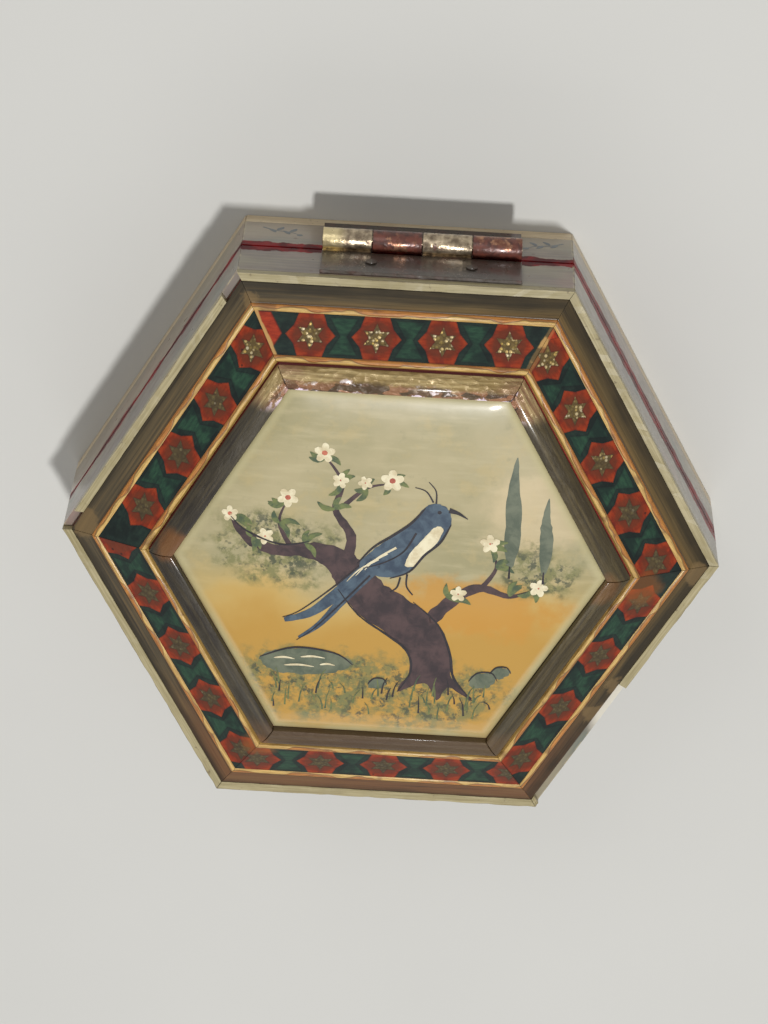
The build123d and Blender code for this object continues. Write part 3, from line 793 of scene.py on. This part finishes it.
# the bird on the hump of the bough
blue.patch([(3.6, 2.0), (5.2, 3.6), (6.2, 5.6), (5.8, 7.3), (4.4, 7.9), (3.2, 7.2), (2.2, 5.6), (0.4, 4.0),
            (-1.6, 2.4), (-3.2, 0.4), (-2.2, -0.6), (0.2, -0.9), (2.2, 0.0)], 0.05)
blue.stroke([(-1.2, 1.0), (-4.4, -2.2), (-7.8, -5.4), (-10.8, -6.6)], 1.9, 0.5, None, 0.06)
blue.stroke([(-1.6, 0.2), (-4.4, -3.4), (-7.0, -6.8), (-9.2, -8.6)], 1.4, 0.3, None, 0.06)
pale.patch([(3.6, 2.0), (4.8, 3.4), (5.4, 5.0), (4.6, 5.2), (3.4, 3.8), (2.2, 2.2), (1.6, 0.6), (2.6, 0.6)], 0.05)
for shift in (0.0, 0.9, 1.8):
    pale.stroke([(0.6 - shift, 2.6 - shift * 0.8), (-1.4 - shift, 1.2 - shift * 0.8),
                 (-2.6 - shift, -0.2 - shift * 0.8)], 0.26, 0.06)
ink.stroke([(5.9, 7.2), (6.9, 6.9), (7.9, 6.3)], 0.62, 0.08)
ink.patch(ellipse(4.9, 6.9, 0.22, 0.2), 0.01, 2)
ink.stroke([(4.2, 8.0), (3.4, 9.2), (2.2, 9.6)], 0.2, 0.08)
ink.stroke([(4.5, 7.9), (4.4, 9.3), (3.6, 10.3)], 0.2, 0.08)
ink.stroke([(3.4, 7.3), (2.0, 5.5), (0.2, 4.0), (-1.8, 2.5), (-3.4, 0.5)], 0.3, 0.12, 0.8)
ink.stroke([(6.2, 5.6), (5.2, 3.5), (3.6, 1.9), (2.1, -0.1), (0.1, -1.0)], 0.28, 0.1, 0.8)
ink.stroke([(2.6, 4.4), (1.4, 2.2), (-0.6, 0.8), (-2.8, 0.0)], 0.24, 0.08)
ink.stroke([(-3.2, 0.2), (-6.0, -2.6), (-9.2, -5.4), (-11.0, -6.3)], 0.22, 0.08)
ink.stroke([(-2.0, -0.8), (-5.0, -4.4), (-7.6, -7.4), (-9.4, -8.9)], 0.22, 0.08)
ink.stroke([(1.2, -0.8), (0.9, -2.0), (0.2, -2.6)], 0.22, 0.14)
ink.stroke([(1.9, -0.4), (1.9, -1.8), (2.6, -2.8)], 0.22, 0.14)

# ink along the tree's bark
for points, width in (([(9.6, -15.0), (7.5, -12.4), (6.9, -9.4), (5.5, -6.2), (2.7, -3.6)], 0.3),
                      ([(1.6, -14.4), (2.9, -11.8), (2.3, -9.4), (0.2, -7.7), (-3.0, -5.5), (-5.3, -2.6)], 0.26),
                      ([(-8.6, 2.7), (-11.6, 2.2), (-15.2, 3.5), (-16.9, 5.0)], 0.22)):
    ink.stroke(points, width, 0.08, 0.8, 0.2)

# leaves in pairs and blossoms at the twigs' ends
chance = random.Random(11)
twigs = [(-7.2, 12.4), (-5.4, 9.6), (-0.6, 9.8), (-2.8, 9.2), (-6.0, 6.6), (-11.2, 7.0), (-11.8, 4.6), (-14.6, 2.8),
         (-16.6, 4.8), (10.6, 3.0), (11.2, 0.8), (15.2, -1.6), (12.8, -2.4), (6.8, -3.2), (-9.0, 2.4)]
for x, y in twigs:
    for _ in range(3):
        turn = chance.uniform(0, 2 * math.pi)
        long = chance.uniform(1.3, 2.2)
        tip = (x + long * math.cos(turn), y + long * math.sin(turn))
        bend = (x + long * 0.55 * math.cos(turn + 0.3), y + long * 0.55 * math.sin(turn + 0.3))
        leaves.stroke([(x, y), bend, tip], 0.62, 0.06, 0.85, 0.08)
for x, y, size in ((-7.4, 12.9, 1.0), (-0.2, 10.2, 1.1), (-11.0, 7.6, 1.0), (-17.0, 5.3, 0.8), (10.4, 3.6, 0.95),
                   (15.8, -1.3, 0.9), (-5.6, 9.9, 0.8), (-13.2, 3.0, 0.85), (7.4, -2.4, 0.8), (-3.0, 9.8, 0.7)):
    first = chance.uniform(0, 72)
    for petal in range(5):
        turn = math.radians(first + 72 * petal)
        pale.patch(ellipse(x + size * 0.62 * math.cos(turn), y + size * 0.62 * math.sin(turn), size * 0.52,
                           size * 0.4, math.degrees(turn), 8), 0.03, 3)
    rose.patch(ellipse(x, y, size * 0.3, size * 0.28, 0, 8), 0.02, 3)

# grass, stones and a pool in front
for _ in range(46):
    x = chance.uniform(-12, 12)
    y = chance.uniform(-17.6, -14.2)
    lean, tall = chance.uniform(-0.8, 0.8), chance.uniform(0.9, 2.4)
    (leaves if chance.random() < 0.7 else ink).stroke([(x, y), (x + lean * 0.3, y + tall * 0.6),
                                                       (x + lean, y + tall)], 0.2, 0.05)
far.patch([(-13.0, -11.0), (-9.6, -9.9), (-5.4, -10.3), (-3.4, -11.4), (-5.8, -12.7), (-10.2, -13.0), (-12.6, -12.3)],
          0.12)
ink.stroke([(-13.2, -11.2), (-9.6, -9.8), (-5.3, -10.2), (-3.3, -11.5)], 0.22, 0.08, 0.8)
for x, y, long in ((-10.6, -11.2, 2.2), (-7.6, -10.9, 2.6), (-9.0, -12.0, 3.2), (-6.0, -11.7, 1.6)):
    pale.stroke([(x - long / 2, y), (x, y + 0.16), (x + long / 2, y + 0.02)], 0.24, 0.05, 0.8)
for x, y, size in ((10.6, -12.6, 1.5), (12.4, -11.6, 1.1), (-0.6, -13.6, 1.0)):
    far.patch(ellipse(x, y, size, size * 0.62, 12, 8), 0.12, 4)
    ink.stroke([(x - size, y - 0.1), (x - size * 0.4, y + size * 0.62), (x + size * 0.6, y + size * 0.66),
                (x + size * 1.05, y)], 0.18, 0.06, 0.8)

for layer in (far, wood, blue, leaves, pale, rose, ink):
    layer.finish()

# ---------------------------------------------------------------- sprigs on the hinge side


def on_back(x, z, lift):
    return Vector((x, BOX_APOTHEM + lift, z))


sprigs = Brushwork("painted_sprigs", pigment("paint_faded_slate", srgb(96, 104, 106), srgb(80, 88, 96), 0.9), 0.012,
                   on_back, (0, 1, 0), "base", "side_plate")
for x, lean in ((-13.6, 1), (14.6, -1)):
    sprigs.stroke([(x - 1.9 * lean, 3.5), (x - 0.5 * lean, 4.3), (x + 1.0 * lean, 4.6), (x + 1.9 * lean, 5.2)], 0.26,
                  0.1)
    for along, side_step in ((-1.2, 1), (-0.4, -1), (0.3, 1), (1.0, -1)):
        stalk_x, stalk_z = x + along * lean, 4.25 + 0.25 * along
        tip_x, tip_z = stalk_x + 0.7 * lean, stalk_z + 0.95 * side_step
        bend = ((stalk_x + tip_x) / 2 + 0.12, (stalk_z + tip_z) / 2)
        sprigs.stroke([(stalk_x, stalk_z), bend, (tip_x, tip_z)], 0.5, 0.1, 0.9, 0.1)
    sprigs.patch(ellipse(x + 2.1 * lean, 5.4, 0.32, 0.28, 0, 8), 0.03, 3)
sprigs.finish()

# ---------------------------------------------------------------- ivory edging

# Stretches of each side where the strip is lost, in shares of its length, counted against the clock seen from above.
LOST = {"back_left": [(0.0, 0.085), (0.93, 1.0)], "front_right": [(0.015, 0.5)]}
MITRE_SHARE = 0.9985         # the strip stops a hair short of the corners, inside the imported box
NICKS = (0, 0, 0, 0.02, 0.05)
foot = RIM_APOTHEM + 0.02    # clear of the sloping boards
ivory = bone("lid_edging_bone", srgb(174, 162, 124), srgb(142, 130, 92), srgb(86, 70, 44))

points, faces = [], []
chance = random.Random(4)
for side, angle in SIDE_ANGLES.items():
    stretches, start = [], 0.0
    for lost_from, lost_to in LOST.get(side, []):
        if lost_from > start:
            stretches.append((start, lost_from))
        start = lost_to
    if start < 1.0:
        stretches.append((start, 1.0))
    turned = Matrix.Rotation(math.radians(angle), 3, "Z")
    for first, last in stretches:
        count = max(6, int(40 * (last - first)))
        base = len(points)
        for index in range(count + 1):
            share = first + (last - first) * index / count
            for radius, height in ((foot, WALL_TOP), (BOX_APOTHEM, WALL_TOP), (BOX_APOTHEM, RIM_TOP), (foot, RIM_TOP)):
                along = (2 * share - 1) * radius * HALF_SIDE * MITRE_SHARE
                nick = 0.0
                if height == RIM_TOP and 0 < index < count:
                    nick = chance.choice(NICKS)
                points.append(turned @ Vector((radius - (nick if radius == BOX_APOTHEM else 0), along,
                                               height - nick)))
        for index in range(count):
            here, there = base + 4 * index, base + 4 * (index + 1)
            for corner in range(4):
                after = (corner + 1) % 4
                faces.append((here + corner, there + corner, there + after, here + after))
        faces.append((base, base + 1, base + 2, base + 3))
        end = base + 4 * count
        faces.append((end + 3, end + 2, end + 1, end))
edging = piece("ivory_edging", mesh_from("ivory_edging", points, faces), ivory, "lid")
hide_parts("lid_edging")

# ---------------------------------------------------------------- stage


def stage_finish(name, colour):
    look = Look(name, roughness=0.8)
    tone = look.noise(0.03, 4)
    look.colour(look.blend(look.scaled(tone, -0.2, 0.6), colour, tuple(c * 0.93 for c in colour[:3]) + (1,)))
    return look.material


floor = bpy.data.objects.new("floor", mesh_from(
    "floor", [(-1500, -1500, 0), (1500, -1500, 0), (1500, 1500, 0), (-1500, 1500, 0)], [(0, 1, 2, 3)]))
floor.data.materials.append(stage_finish("floor_plaster", srgb(206, 205, 200)))
bpy.context.scene.collection.objects.link(floor)

world = bpy.data.worlds.new("studio")
bpy.context.scene.world = world
world.use_nodes = True
background = world.node_tree.nodes["Background"]
background.inputs["Color"].default_value = (1.0, 1.0, 1.0, 1.0)
background.inputs["Strength"].default_value = 0.32
# What the camera sees straight, mirrored or through glass is a pale wall; the light itself stays as it is.
nodes, links = world.node_tree.nodes, world.node_tree.links
rays = nodes.new("ShaderNodeLightPath").outputs
seen = rays["Is Camera Ray"]
for ray in ("Is Transmission Ray", "Is Glossy Ray"):
    either = nodes.new("ShaderNodeMath")
    either.operation = "MAXIMUM"
    links.new(seen, either.inputs[0])
    links.new(rays[ray], either.inputs[1])
    seen = either.outputs[0]
wall = nodes.new("ShaderNodeBackground")
wall.inputs["Color"].default_value = srgb(192, 191, 187)
choice = nodes.new("ShaderNodeMixShader")
for socket, source in zip(choice.inputs, (seen, background.outputs[0], wall.outputs[0])):
    links.new(source, socket)
links.new(choice.outputs[0], nodes["World Output"].inputs["Surface"])


def lamp(name, place, aim, power, size):
    light = bpy.data.lights.new(name, "AREA")
    light.energy = power
    light.size = size
    thing = bpy.data.objects.new(name, light)
    bpy.context.scene.collection.objects.link(thing)
    thing.location = place
    thing.rotation_euler = (Vector(aim) - Vector(place)).to_track_quat("-Z", "Y").to_euler()
    return thing


lamp("key", (0.075, -0.003, 0.6), (0, 0, 0.01), 2.25, 0.032)
lamp("fill", (-0.3, 0.5, 0.5), (0, 0, 0.01), 0.6, 0.4)
bounce = lamp("bounce", (0.0, -0.49, 0.445), (0, 0, 0.015), 0.5, 0.5)
bounce.data.shape = "RECTANGLE"
bounce.data.size_y = 0.2

# ---------------------------------------------------------------- camera

CAMERA_PLACE = Vector((-0.53, 180.47, 402.76)) * MM
CAMERA_FORWARD = Vector((-0.0009, -0.4160, -0.9094)).normalized()
CAMERA_UP = Vector((-0.0576, 0.9079, -0.4152)).normalized()
FOCAL_PIXELS, IMAGE_HEIGHT, SENSOR = 4000, 1024, 36

camera_data = bpy.data.cameras.new("camera")
camera = bpy.data.objects.new("camera", camera_data)
bpy.context.scene.collection.objects.link(camera)
right = CAMERA_FORWARD.cross(CAMERA_UP).normalized()
up = right.cross(CAMERA_FORWARD)
camera.matrix_world = Matrix.Translation(CAMERA_PLACE) @ Matrix((right, up, -CAMERA_FORWARD)).transposed().to_4x4()
camera_data.sensor_width = SENSOR
camera_data.lens = SENSOR * FOCAL_PIXELS / IMAGE_HEIGHT
camera_data.clip_start = 0.01
bpy.context.scene.camera = camera
bpy.context.scene.view_settings.view_transform = "Standard"
